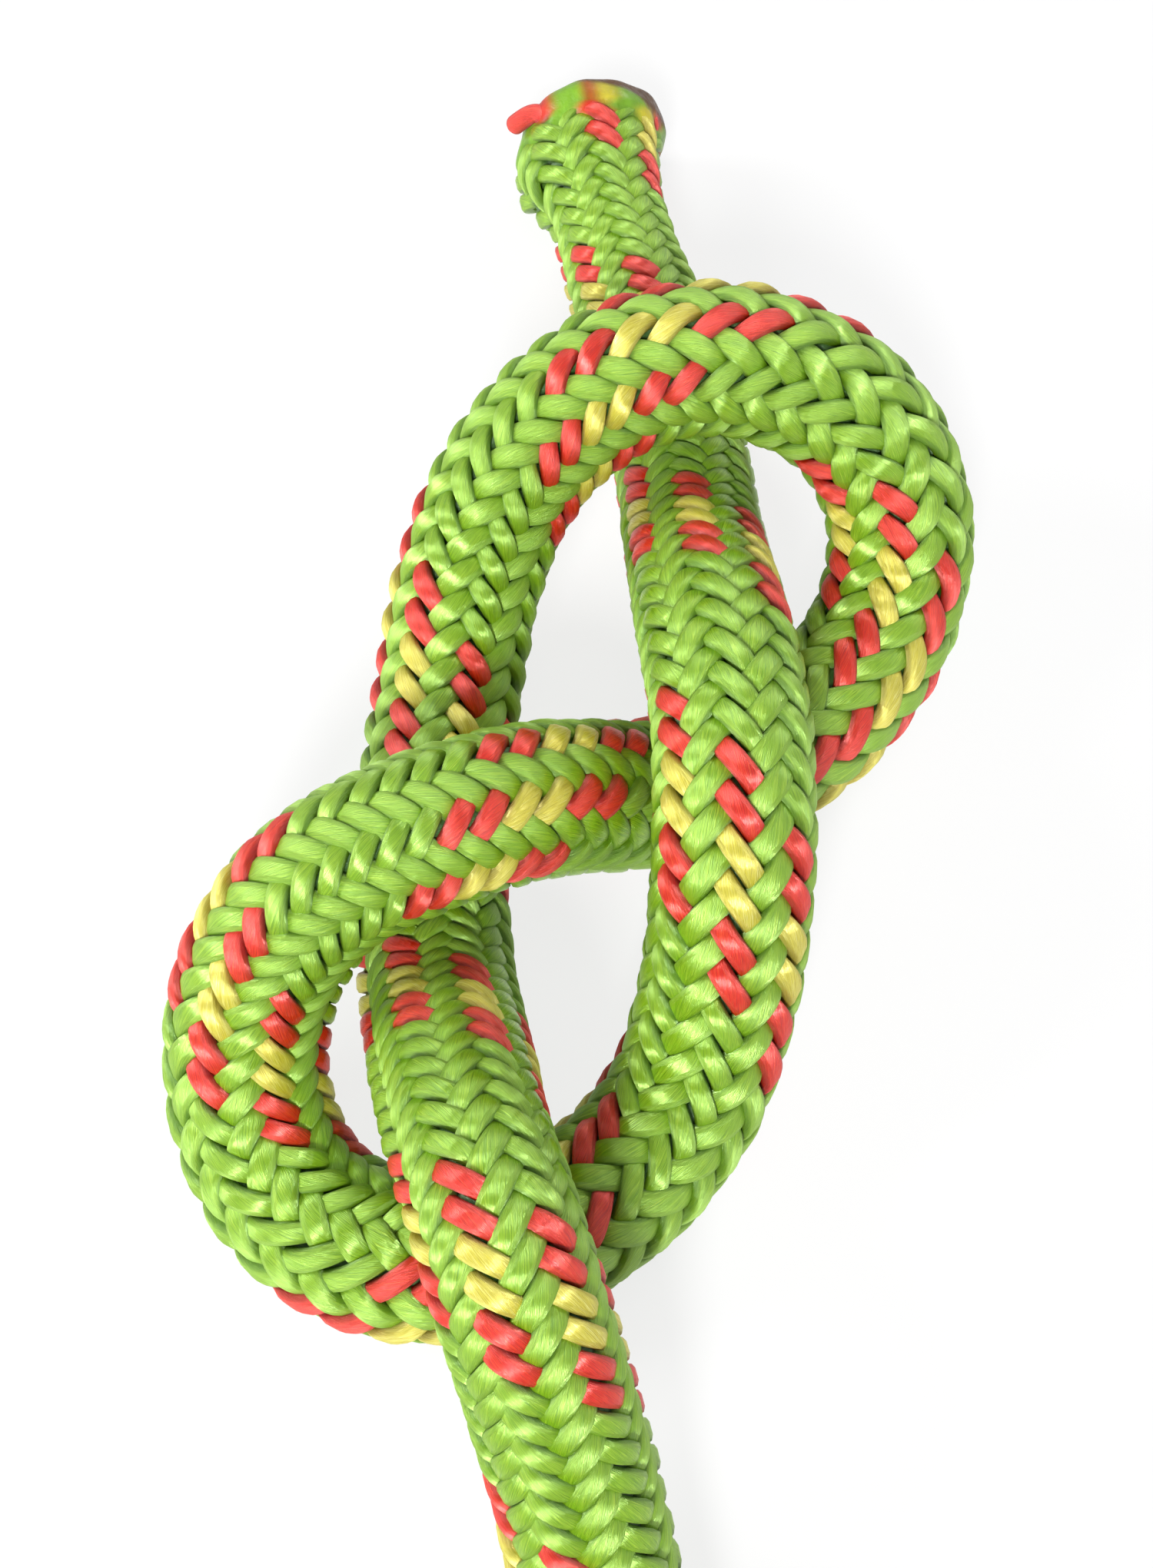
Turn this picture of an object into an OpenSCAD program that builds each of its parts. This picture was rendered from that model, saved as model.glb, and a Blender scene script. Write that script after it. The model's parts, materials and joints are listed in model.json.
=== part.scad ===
// Short length of 11 mm dynamic climbing rope, tied in a loose figure-eight knot.
// The rope is a kernmantle: a hollow braided sheath round seven core strands. The free length
// lies in a flat hank in line with the knot, held by a webbing tie, and both ends are heat-sealed.
// Millimetres. +X right, +Y along the knot's free tail, +Z up from the surface that the rope lies on.

/* [Rope] */
// Outside diameter of the rope
rope_d = 11; // [9:0.1:12]
// Wall of the braided sheath round the core
sheath_wall = 1.45; // [1:0.05:1.8]
// Clearance between one core strand and the next, and between the strands and the sheath
core_gap = 0.1; // [0.05:0.05:0.3]

/* [Knot] */
// Air between the two strands of the rope where they cross, at the top of a hump
crossing_gap = 1; // [0.8:0.1:2]

/* [Heat-sealed ends] */
// Length of the melted plug on the tail's end
tail_seal_length = 2; // [1:0.1:4]
// How far the melted rim stands out past the sheath
seal_flare = 0.8; // [0.2:0.05:1]
// Length of the fused stub on the hank's end
stub_length = 14; // [10:0.5:25]
// Rounding of the stub's edge
stub_rounding = 1.2; // [0.5:0.1:2]

/* [Hank] */
// Length of one straight run, from end loop to end loop
run_length = 165; // [150:1:200]
// Radius of the innermost end loop, to the rope's centre
inner_fold_r = 15.5; // [13:0.5:20]
// Loops that lie inside each other in a layer
nested_loops = 2; // [1:1:3]
// Air between neighbouring turns of the hank
turn_gap = 1; // [0.7:0.1:2]
// Length in which the last run comes down beside the end loops
end_run = 38.5; // [34:0.5:50]

/* [Hank tie] */
// Width of the webbing, along the hank
tie_width = 20; // [10:1:30]
// Thickness of the webbing
tie_thickness = 1.6; // [1:0.1:2.5]
// Clearance between the webbing and the rope
tie_gap = 0.3; // [0.2:0.05:0.6]
// Straight rope between the webbing's edge and the slopes of the runs
tie_margin = 1; // [0.5:0.5:4]
// Length of the webbing's end that is folded back on top
tie_tab_length = 24; // [12:1:30]

/* [Hidden] */

// Sides of the swept pieces, and rings for each stretch between two route points
sheath_sides = 12;
core_sides = 6;
hank_sides = 6;
rings_per_point = 2;
gap_rings_per_point = 4;
// Stretches of an end loop, and of each half of a run outside the tie: 24 for a whole turn
fold_rings = 7;
half_run_rings = 2;

// Route of the knot, from the sealed tail to where the hank's lead begins. Each row is
// [x, y, lift] for a rope of route_d: x and y in millimetres, and lift as a share of the height
// of a crossing, from 0 lying on the surface to 1 lying on another strand.
route_d = 11;
KNOT_ROUTE = [
    [1.1, 104.5, 0], [2.8, 95, 0], [5.5, 85.5, 0], [8.1, 76, 0],         // tail, under the upper loop
    [8.8, 64.5, 0.1], [9.2, 54, 0.9], [10.2, 45, 1.1], [10.1, 36.5, 0.95], // over the crossing arm
    [9.5, 28.5, 0.35], [7, 22.6, 0.05], [2.7, 17.7, 0], [-3.5, 13.7, 0], // under the near strand
    [-11, 12.6, 0], [-18, 15.6, 0], [-22, 22.6, 0.1], [-21.5, 29.6, 0.5], // lower loop
    [-17, 35.1, 0.95], [-9.5, 38, 1.05], [-2.5, 41.5, 0.85],             // over the left arm
    [4, 45, 0], [11, 46.8, 0], [18, 51.1, 0],                            // under the middle strand
    [23.4, 58.6, 0.15], [24.3, 66.1, 0.45], [20, 71.7, 0.85], [12, 73.8, 1.1], // right arm, upper loop
    [4, 73, 1.1], [-4.2, 68.5, 0.75], [-8.1, 61, 0.35], [-9.5, 52, 0.05], // over the tail, left arm
    [-10.5, 43.5, 0], [-10, 35, 0], [-9, 28, 0.15],                      // under the crossing arm
    [-7, 21, 0.85], [-4.5, 14, 1.15], [-2, 7, 0.93], [0.5, -0.5, 0.42],  // over the lower loop
    [2, -8, 0.05], [4, -16, 0]                                           // down to the hank
];
// Points of the lead between the knot and the hank's first run, for a rope of route_d
LEAD_ROUTE = [[13, -31.5], [20.5, -38]];
// Where the hank's runs start, and its middle line, for a rope of route_d
hank_top_y = -58;
hank_mid_x = -3;
// Way down of the last run: [share of end_run, lift], where a lift of 1 is a whole layer
END_ROUTE = [[0, 1], [0.28, 1], [0.55, 0.8], [0.82, 0], [1, 0]];
// Part of its diameter by which a strand is pressed flat where it lies on the surface, and of
// the sheath's wall that is left there
flat_share = 0.1;
pressed_wall_share = 0.6;

function smooth(v) = v * v * (3 - 2 * v);

// Heights and sizes that follow from the rope
rope_r = rope_d / 2;
route_scale = rope_d / route_d;
lying_z = rope_r - flat_share * rope_d;
crossing_rise = rope_d + crossing_gap;
bore_r = rope_r - sheath_wall;
core_d = (2 * bore_r * cos(180 / sheath_sides) - 4 * core_gap) / 3;
core_ring_r = core_d + core_gap;
pressed_wall = pressed_wall_share * sheath_wall;

// Hank: turns beside and on each other
turn_step = rope_d + turn_gap;
outer_fold_r = inner_fold_r + (nested_loops - 1) * turn_step;
hank_runs = 4 * nested_loops - 1;
mid_x = hank_mid_x * route_scale;
top_y = hank_top_y * route_scale;
bottom_y = top_y - run_length;
waist_y = (top_y + bottom_y) / 2;
// At the waist the runs lie side by side, so each is drawn in by the same amount
waist_draw = inner_fold_r - turn_step / 2;
// How far the runs are lifted at the waist to lie on the webbing
waist_lift = rope_r - lying_z + tie_thickness + tie_gap;
// Share of a run on each side of its straight middle, which the webbing goes round
slope_share = 0.5 - (tie_width / 2 + tie_margin) / run_length;
function waist(v) = smooth(min(1, (0.5 - abs(v - 0.5)) / slope_share));

// ---- points along the rope ----

function spline_point(a, b, c, d, t) =
    (pow(1 - t, 3) * a + (3 * pow(t, 3) - 6 * t * t + 4) * b
    + (-3 * pow(t, 3) + 3 * t * t + 3 * t + 1) * c + pow(t, 3) * d) / 6;

// Smooth curve led by the points, which starts at the first and ends at the last of them
function spline(points, steps) =
    let (
        n = len(points),
        p = concat([2 * points[0] - points[1]], points, [2 * points[n - 1] - points[n - 2]])
    )
    concat(
        [for (i = [0 : n - 2]) for (k = [0 : steps - 1])
            spline_point(p[i], p[i + 1], p[i + 2], p[i + 3], k / steps)],
        [points[n - 1]]
    );

knot_points = [for (p = KNOT_ROUTE)
    [p.x * route_scale, p.y * route_scale, lying_z + p.z * crossing_rise]];
knot_end = knot_points[len(knot_points) - 1];
knot_heading = knot_end - knot_points[len(knot_points) - 2];
first_run_x = mid_x + outer_fold_r;
lead_points = concat(
    [knot_end, knot_end + [knot_heading.x, knot_heading.y, 0]],
    [for (p = LEAD_ROUTE) [p.x * route_scale, p.y * route_scale, lying_z]],
    [for (y = [top_y + rope_d, top_y + rope_r, top_y]) [first_run_x, y, lying_z]]
);

// A run's radius, its side of the middle line, and the layers that it starts and ends in
function run_r(i) = i < 2 * nested_loops
    ? inner_fold_r + (nested_loops - 1 - floor(i / 2)) * turn_step
    : inner_fold_r + ceil((i - 2 * nested_loops) / 2) * turn_step;
function run_side(i) = i % 2 == 0 ? 1 : -1;
function layer_before(i) = i < 2 * nested_loops ? 0 : 1;
function layer_after(i) = i < 2 * nested_loops - 1 ? 0 : 1;

function run_point(i, v) = [
    mid_x + run_side(i) * (run_r(i) - waist_draw * waist(v)),
    i % 2 == 0 ? top_y - v * run_length : bottom_y + v * run_length,
    lying_z + waist_lift * waist(v)
        + turn_step * (layer_before(i) + (layer_after(i) - layer_before(i)) * smooth(v))
];

// Half turn from run i to run i + 1, round the bottom or the top of the hank
function fold_point(i, v) =
    let (
        across = (run_r(i) + run_r(i + 1)) / 2,
        middle = run_side(i) * (run_r(i) - run_r(i + 1)) / 2,
        end_y = i % 2 == 0 ? bottom_y : top_y
    )
    [
        mid_x + middle + run_side(i) * across * cos(180 * v),
        end_y - run_side(i) * across * sin(180 * v),
        lying_z + turn_step * layer_after(i)
    ];

// The end of the last run comes down to a round, level stub
last_x = mid_x + run_side(hank_runs - 1) * run_r(hank_runs - 1);
end_points = [for (p = END_ROUTE)
    [last_x, bottom_y - p[0] * end_run, (p[1] == 1 ? lying_z : rope_r) + p[1] * turn_step]];

// Shares of a run at which it has a ring: closer on its slopes than on its straight middle
function run_shares(n) = concat(
    [for (k = [1 : n]) slope_share * k / n],
    [for (k = [n : -1 : 0]) 1 - slope_share * k / n]
);

function hank_path(steps, half_run_steps, fold_steps) =
    let (coming_down = spline(end_points, steps))
    concat(
        spline(lead_points, steps),
        [for (i = [0 : hank_runs - 1]) each concat(
            [for (v = run_shares(half_run_steps)) run_point(i, v)],
            i == hank_runs - 1 ? [] : [for (k = [1 : fold_steps]) fold_point(i, k / fold_steps)]
        )],
        [for (k = [1 : len(coming_down) - 1]) coming_down[k]]
    );

knot_path = spline(knot_points, rings_per_point);
hank_rings = hank_path(rings_per_point, half_run_rings, fold_rings);

// ---- sections carried along a path ----

function unit(v) = v / norm(v);
function heading(path, i) =
    let (n = len(path))
    i == 0 ? unit(path[1] - path[0])
    : i == n - 1 ? unit(path[n - 1] - path[n - 2])
    : unit(unit(path[i] - path[i - 1]) + unit(path[i + 1] - path[i]));

// Side directions that turn with the path and never twist about it
function carried(path, headings, i, side) =
    let (s = unit(side - (side * headings[i]) * headings[i]))
    i == len(path) - 1 ? [s] : concat([s], carried(path, headings, i + 1, s));

function frames(path, first, last) =
    let (
        inner = [for (i = [0 : len(path) - 1]) heading(path, i)],
        headings = [for (i = [0 : len(path) - 1])
            i == 0 ? unit(first) : i == len(path) - 1 ? unit(last) : inner[i]],
        sides = carried(path, headings, 0, cross(headings[0], [0, 0, 1]))
    )
    [for (i = [0 : len(path) - 1]) [sides[i], cross(sides[i], headings[i])]];

// Ring of points round the path, off its centre by shift, and pressed flat at the height floor_z
function ring(at, frame, r, sides, shift, floor_z) = [
    for (k = [0 : sides - 1])
        let (
            a = 360 * k / sides,
            p = at + (shift[0] + r * cos(a)) * frame[0] + (shift[1] + r * sin(a)) * frame[1]
        )
        [p.x, p.y, max(p.z, floor_z)]
];

function rings(path, path_frames, r, sides, shift, floor_z) = [
    for (i = [0 : len(path) - 1]) each ring(path[i], path_frames[i], r, sides, shift, floor_z)
];

// Triangles between neighbouring rings; first is the number of the first ring's first point
function wall_faces(n, sides, first, inward) = [
    for (i = [0 : n - 2]) for (k = [0 : sides - 1])
        let (
            a = first + i * sides + k,
            b = first + i * sides + (k + 1) % sides,
            c = a + sides,
            d = b + sides
        )
        each inward ? [[a, c, b], [b, c, d]] : [[a, b, c], [b, d, c]]
];

// Triangles that close a ring, as a fan
function cap_faces(first, sides, turned) = [
    for (k = [1 : sides - 2])
        turned ? [first, first + k + 1, first + k] : [first, first + k, first + k + 1]
];

// Triangles between an outer and an inner ring in one plane
function rim_faces(outer, inner, sides, turned) = [
    for (k = [0 : sides - 1])
        let (a = outer + k, b = outer + (k + 1) % sides, c = inner + k, d = inner + (k + 1) % sides)
        each turned ? [[a, c, b], [b, c, d]] : [[a, b, c], [b, d, c]]
];

knot_frames = frames(knot_path, knot_points[1] - knot_points[0], knot_heading);
hank_frames = frames(hank_rings, knot_heading, [0, -1, 0]);

sheath_points = rings(knot_path, knot_frames, rope_r, sheath_sides, [0, 0], 0);
hank_points = rings(hank_rings, hank_frames, rope_r, hank_sides, [0, 0], 0);

// ---- the part's own origin: under the middle of its box ----

tail_seal_tip = knot_points[0] - tail_seal_length * unit(knot_points[1] - knot_points[0]);
stub_tip = end_points[len(end_points) - 1] - [0, stub_length, 0];
all_x = concat([for (p = sheath_points) p.x], [for (p = hank_points) p.x]);
all_y = concat([for (p = sheath_points) p.y], [tail_seal_tip.y, stub_tip.y]);
origin = [(min(all_x) + max(all_x)) / 2, (min(all_y) + max(all_y)) / 2, 0];

// ---- measured and printed ----

function path_length(p) = sum_from([for (i = [1 : len(p) - 1]) norm(p[i] - p[i - 1])], 0);
function sum_from(list, i) = i == len(list) ? 0 : list[i] + sum_from(list, i + 1);
function run_up(p, i, so_far) = i == len(p) ? [] :
    let (here = i == 0 ? 0 : so_far + norm(p[i] - p[i - 1])) concat([here], run_up(p, i + 1, here));

fine_path = concat(
    spline(knot_points, gap_rings_per_point),
    hank_path(gap_rings_per_point, 5 * half_run_rings, 2 * fold_rings)
);
fine_run = run_up(fine_path, 0, 0);
// Two points of the rope count as neighbours while less than this much rope lies between them
own_reach = 2.2 * rope_d;
least_gap = min([for (i = [0 : len(fine_path) - 1]) for (j = [i + 1 : 1 : len(fine_path) - 1])
    if (fine_run[j] - fine_run[i] > own_reach) norm(fine_path[i] - fine_path[j])]) - rope_d;
rope_length = tail_seal_length + fine_run[len(fine_run) - 1] + stub_length;
echo(rope_length_mm = rope_length, least_gap_to_itself_mm = least_gap);
echo(core_strand_d_mm = core_d, origin_shift_mm = origin);

// ---- sub-parts ----

module swept(points, n, sides) {
    polyhedron(points, concat(
        wall_faces(n, sides, 0, false),
        cap_faces(0, sides, true),
        cap_faces((n - 1) * sides, sides, false)
    ));
}

// Hollow braided cover along the knot
module sheath() {
    n = len(knot_path);
    inner = rings(knot_path, knot_frames, bore_r, sheath_sides, [0, 0], pressed_wall);
    bore_start = n * sheath_sides;
    last = (n - 1) * sheath_sides;
    color("yellowgreen") translate(-origin)
        polyhedron(concat(sheath_points, inner), concat(
            wall_faces(n, sheath_sides, 0, false),
            wall_faces(n, sheath_sides, bore_start, true),
            rim_faces(0, bore_start, sheath_sides, true),
            rim_faces(last, bore_start + last, sheath_sides, false)
        ));
}

// One of the seven core strands: the seventh runs up the middle and six lie round it
module core_strand(number) {
    a = 60 * number;
    shift = number == 7 ? [0, 0] : core_ring_r * [cos(a), sin(a)];
    color("ivory") translate(-origin)
        swept(
            rings(knot_path, knot_frames, core_d / 2, core_sides, shift, pressed_wall + core_gap),
            len(knot_path), core_sides
        );
}

// The rest of the rope: the lead, the loops and the end that comes off them
module hank() {
    color("olivedrab") translate(-origin)
        swept(hank_points, len(hank_rings), hank_sides);
}

// Webbing round the waist of the hank, with its end folded back on top
module hank_tie() {
    half_w = (2 * nested_loops - 1) * turn_step / 2 + rope_r + tie_gap;
    low = tie_thickness;
    high = lying_z + waist_lift + turn_step + rope_r + tie_gap;
    corner_r = rope_r;
    color("dimgray") translate(-origin) translate([mid_x, waist_y + tie_width / 2, 0])
        rotate([90, 0, 0]) linear_extrude(tie_width) {
            difference() {
                tie_outline(half_w + tie_thickness, low - tie_thickness, high + tie_thickness,
                    corner_r + tie_thickness);
                tie_outline(half_w, low, high, corner_r);
            }
            translate([-tie_tab_length / 2, high + tie_thickness])
                square([tie_tab_length, tie_thickness]);
        }
}

// Rounded box, half_w to each side, from low to high
module tie_outline(half_w, low, high, corner_r) {
    hull()
        for (x = [-half_w + corner_r, half_w - corner_r]) for (z = [low + corner_r, high - corner_r])
            translate([x, z]) circle(r = corner_r, $fn = 32);
}

// Melted plug on the tail, a little wider than the rope, flat where it lies
module tail_end_seal() {
    dir = knot_points[0] - knot_points[1];
    rim_r = rope_r + seal_flare;
    edge = tail_seal_length / 3;
    color("saddlebrown") translate(-origin)
        difference() {
            translate(knot_points[0]) rotate([0, 0, atan2(dir.y, dir.x)]) rotate([0, 90, 0])
                rotate_extrude($fn = 48)
                    polygon([
                        [0, 0], [rope_r, 0], [rim_r, edge], [rim_r, 2 * edge],
                        [rope_r - seal_flare, tail_seal_length], [0, tail_seal_length]
                    ]);
            translate([knot_points[0].x - 2 * rope_d, knot_points[0].y - 2 * rope_d, -rope_d])
                cube([4 * rope_d, 4 * rope_d, rope_d]);
        }
}

// Fused stub on the hank's end: a true round of the rope's own diameter
module hank_end_seal() {
    at = end_points[len(end_points) - 1];
    color("darkolivegreen") translate(-origin) translate(at) rotate([90, 0, 0])
        rotate_extrude($fn = 64)
            union() {
                square([rope_r, stub_length - stub_rounding]);
                translate([0, stub_length - stub_rounding])
                    square([rope_r - stub_rounding, stub_rounding]);
                translate([rope_r - stub_rounding, stub_length - stub_rounding])
                    intersection() {
                        circle(r = stub_rounding, $fn = 32);
                        square(stub_rounding);
                    }
            }
}

sheath();
core_strand(1);  // core_strand_1
core_strand(2);  // core_strand_2
core_strand(3);  // core_strand_3
core_strand(4);  // core_strand_4
core_strand(5);  // core_strand_5
core_strand(6);  // core_strand_6
core_strand(7);  // core_strand_7
hank();
hank_tie();
tail_end_seal();
hank_end_seal();
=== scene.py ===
"""Dynamic climbing rope: a loose figure-eight knot near its melted tail, the rest in a tied hank.

The sheath is braided from 24 yarns, 12 of each hand, in a two-over-two-under weave. Each yarn is
a rolled strip that follows the rope's route. The rope's own lengths are millimetres until a piece
is made; floor, lamps and camera are set in metres.
"""

import json
import math

import bmesh
import bpy
import numpy as np
from mathutils import Matrix, Vector

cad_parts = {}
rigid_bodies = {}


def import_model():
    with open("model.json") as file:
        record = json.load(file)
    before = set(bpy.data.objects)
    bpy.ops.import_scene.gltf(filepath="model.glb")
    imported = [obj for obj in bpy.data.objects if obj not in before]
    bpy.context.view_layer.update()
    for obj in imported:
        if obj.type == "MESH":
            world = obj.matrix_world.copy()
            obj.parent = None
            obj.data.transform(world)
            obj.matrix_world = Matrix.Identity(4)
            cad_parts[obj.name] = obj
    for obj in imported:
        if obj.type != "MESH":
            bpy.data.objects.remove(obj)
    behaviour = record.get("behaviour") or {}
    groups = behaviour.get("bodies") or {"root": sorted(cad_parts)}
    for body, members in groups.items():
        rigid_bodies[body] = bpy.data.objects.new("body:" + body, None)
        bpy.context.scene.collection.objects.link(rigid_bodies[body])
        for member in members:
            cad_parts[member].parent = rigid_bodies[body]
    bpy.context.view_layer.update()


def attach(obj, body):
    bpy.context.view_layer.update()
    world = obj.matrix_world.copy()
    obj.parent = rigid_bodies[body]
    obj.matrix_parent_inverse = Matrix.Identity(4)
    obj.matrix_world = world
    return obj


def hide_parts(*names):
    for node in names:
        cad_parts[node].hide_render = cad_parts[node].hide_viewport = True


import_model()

MM = 0.001

# ---- the rope and its route, as the construction has them ----

ROPE_D = 11.0
ROPE_R = ROPE_D / 2
LYING_Z = ROPE_R - 0.1 * ROPE_D
CROSSING_RISE = ROPE_D + 1
KNOT_ROUTE = [
    (1.1, 104.5, 0), (2.8, 95, 0), (5.5, 85.5, 0), (8.1, 76, 0),
    (8.8, 64.5, 0.1), (9.2, 54, 0.9), (10.2, 45, 1.1), (10.1, 36.5, 0.95),
    (9.5, 28.5, 0.35), (7, 22.6, 0.05), (2.7, 17.7, 0), (-3.5, 13.7, 0),
    (-11, 12.6, 0), (-18, 15.6, 0), (-22, 22.6, 0.1), (-21.5, 29.6, 0.5),
    (-17, 35.1, 0.95), (-9.5, 38, 1.05), (-2.5, 41.5, 0.85),
    (4, 45, 0), (11, 46.8, 0), (18, 51.1, 0),
    (23.4, 58.6, 0.15), (24.3, 66.1, 0.45), (20, 71.7, 0.85), (12, 73.8, 1.1),
    (4, 73, 1.1), (-4.2, 68.5, 0.75), (-8.1, 61, 0.35), (-9.5, 52, 0.05),
    (-10.5, 43.5, 0), (-10, 35, 0), (-9, 28, 0.15),
    (-7, 21, 0.85), (-4.5, 14, 1.15), (-2, 7, 0.93), (0.5, -0.5, 0.42),
    (2, -8, 0.05), (4, -16, 0),
]
LEAD_ROUTE = [(13, -31.5), (20.5, -38)]
HANK_MID_X = -3.0
HANK_TOP_Y = -58.0
RUN_LENGTH = 165.0
HANK_BOTTOM_Y = HANK_TOP_Y - RUN_LENGTH
INNER_FOLD_R = 15.5
NESTED_LOOPS = 2
TURN_STEP = ROPE_D + 1
HANK_RUNS = 4 * NESTED_LOOPS - 1
END_RUN = 38.5
END_ROUTE = [(0, 1), (0.28, 1), (0.55, 0.8), (0.82, 0), (1, 0)]
TIE_WIDTH = 20.0
TIE_THICKNESS = 1.6
TIE_GAP = 0.3
TIE_MARGIN = 1.0
TIE_TAB = 24.0
TIE_MID_Y = HANK_TOP_Y - RUN_LENGTH / 2
WAIST_DRAW = INNER_FOLD_R - TURN_STEP / 2
WAIST_LIFT = ROPE_R - LYING_Z + TIE_THICKNESS + TIE_GAP
WAIST_TOP_Z = LYING_Z + WAIST_LIFT + TURN_STEP + ROPE_R
SLOPE_SHARE = 0.5 - (TIE_WIDTH / 2 + TIE_MARGIN) / RUN_LENGTH
STUB_LENGTH = 14.0
# The route's own origin, seen from the part's
ROUTE_SHIFT = np.array([2.99656, 84.5156, 0.0])
# Points to a span of the knot's curve, a span of the lead's, a straight run and a fold
KNOT_STEPS, LEAD_STEPS, RUN_STEPS, FOLD_STEPS = 30, 40, 400, 200

# ---- the braid ----

YARNS = 12                 # of each hand
PITCH = 28.0               # length of rope in which a yarn goes round once
YARN_THICK = 1.02          # of a yarn of the usual width; a wider one is thinner
USUAL_WIDTH = 1.74
LEAST_WIDTH, MOST_WIDTH = 1.5, 2.6    # beyond these the thickness changes no more
WEAVE_DEPTH = 0.52         # how far a yarn rises and dives from the middle of the sheath
FLOAT_FLATNESS = 1.2       # how level the top of a float is
FLOAT_SPREAD = 0.04        # how much wider a float is on top, as a share of the space
HAND_STEP = 0.06           # how much further out the one hand's yarns lie than the middle
YARN_FILL = {-1: 0.95, 1: 1.14}   # width of a yarn as a share of the space that it has
SECTION_ROUNDNESS = 0.60   # 1 makes an oval section, and less makes it squarer
BRAID_R = ROPE_R - YARN_THICK / 2 - WEAVE_DEPTH - HAND_STEP
# radius of the dark tube of painted shade under the yarns
GAP_SHADE_R = 4.05
INNER_R = 3.88             # nearest that a yarn comes to the rope's middle
TOP_ANGLE = 1.5 * np.pi    # the rope's upper side, as an angle round it
# How a yarn strays from an even run: by how much, and in waves of what length divided by 2 pi
SIDE_WAVERS = [(0.05, 3.1), (0.05, 7.3)]
HEIGHT_WAVER = (0.02, 2.3)
DEPTH_WAVER = (0.10, 5.3)  # as a share of its depth
# Turns of the lay, in yarns, at every LAY_STEP of the knot, whose bends open and close it
LAY_STEP = 12.0
LAY_START = 2.25
LAY = [
    -7.38, -1.18, 5.31, 11.67, 16.9, 22.08, 28.06, 32.52, 36.31, 41.42, 46.55, 50.42, 56.85,
    64.97, 69.75, 73.0, 76.96, 81.06, 84.5, 89.49, 94.91, 99.42, 104.11, 109.52, 115.8, 124.01,
    131.49, 137.04, 142.15,
]
# Twist of the whole sheath about the rope at the same places, in degrees
TWIST = [
    15, 18, 20, 24, 27, 25, 23, 23, 23, 20, 5, 2, 8, 21, 35, 47, 54, 60, 55, 57, 58, 56, 57, 53,
    50, 56, 60, 60, 60,
]
LAY_FINENESS = 48          # steps of their curves from one place to the next
# How much closer the yarns lie on the knot's upper side, and over what length that fades at its end
CROWDING = 0.14
CROWDING_FADE = 40.0
# On the inside of a bend the yarns crowd, and so they rise and dive less
CROWDED_SPACE = 1.7        # with less space than this a yarn starts to do so
PACKED_SPACE = 1.0         # and with this one it does so most
CROWDED_LOSS = 0.35        # share of its depth that goes then
# Stretches of the rope that differ: start, end, and the lengths over which that comes and goes
PRESSED_STRETCH = (284, 334, 10, 14)
PUFFED_STRETCH = (184, 272, 12, 14)
PRESSED_LOSS = 0.4         # share of the yarns' depth that goes where they are pressed
PRESSED_IN = 0.5           # how much nearer to the rope's middle they lie
PUFF_DEPTH = 0.12          # share by which a puffed float stands out more
PUFF_SPREAD = 0.12         # how much more its width changes, as a share of the space
PUFF_NARROWING = 0.06      # how much narrower it is in all
PUFF_ROUNDNESS = 0.25      # added to its section's roundness
# Where the yarns' ends go down into the melted tail, how far, and over what length
TUCK_START = 0.7
TUCK_DEPTH = 1.3
TUCK_LENGTH = 1.6


# ---- the route ----

def spline(points, steps):
    """Smooth curve led by the points, from the first to the last of them."""
    p = np.array(points, dtype=float)
    if p.ndim == 1:
        p = p[:, None]
    p = np.vstack([2 * p[0] - p[1], p, 2 * p[-1] - p[-2]])
    t = np.arange(steps)[:, None] / steps
    parts = [
        ((1 - t) ** 3 * a + (3 * t ** 3 - 6 * t * t + 4) * b
         + (-3 * t ** 3 + 3 * t * t + 3 * t + 1) * c + t ** 3 * d) / 6
        for a, b, c, d in zip(p, p[1:], p[2:], p[3:])
    ]
    return np.vstack(parts + [p[-2:-1]])


def smooth(v):
    return v * v * (3 - 2 * v)


def unit(v):
    return v / np.linalg.norm(v, axis=-1)[..., None]


def full_turn(sides):
    """Angles once round, the last of them on the first."""
    return 2 * np.pi * np.arange(sides + 1) / sides


def run_radius(i):
    """How far run i of the hank lies from the hank's middle where it isn't drawn in."""
    if i < 2 * NESTED_LOOPS:
        return INNER_FOLD_R + (NESTED_LOOPS - 1 - i // 2) * TURN_STEP
    return INNER_FOLD_R + math.ceil((i - 2 * NESTED_LOOPS) / 2) * TURN_STEP


def run_points(i, shares):
    """Straight run i of the hank, drawn in and lifted at the waist."""
    waist = smooth(np.minimum(1, (0.5 - abs(shares - 0.5)) / SLOPE_SHARE))
    side = 1 if i % 2 == 0 else -1
    before = 0 if i < 2 * NESTED_LOOPS else 1
    after = 0 if i < 2 * NESTED_LOOPS - 1 else 1
    x = HANK_MID_X + side * (run_radius(i) - WAIST_DRAW * waist)
    if i % 2 == 0:
        y = HANK_TOP_Y - shares * RUN_LENGTH
    else:
        y = HANK_BOTTOM_Y + shares * RUN_LENGTH
    z = LYING_Z + WAIST_LIFT * waist + TURN_STEP * (before + (after - before) * smooth(shares))
    return np.column_stack([x, y, z])


def fold_points(i, shares):
    """Half turn from run i to the next, round an end of the hank."""
    side = 1 if i % 2 == 0 else -1
    across = (run_radius(i) + run_radius(i + 1)) / 2
    middle = side * (run_radius(i) - run_radius(i + 1)) / 2
    end_y = HANK_BOTTOM_Y if i % 2 == 0 else HANK_TOP_Y
    layer = 0 if i < 2 * NESTED_LOOPS - 1 else 1
    turn = np.pi * shares
    return np.column_stack([
        HANK_MID_X + middle + side * across * np.cos(turn),
        end_y - side * across * np.sin(turn),
        np.full_like(shares, LYING_Z + TURN_STEP * layer),
    ])


def knot_line():
    return spline([(x, y, LYING_Z + lift * CROSSING_RISE) for x, y, lift in KNOT_ROUTE], KNOT_STEPS)


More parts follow.
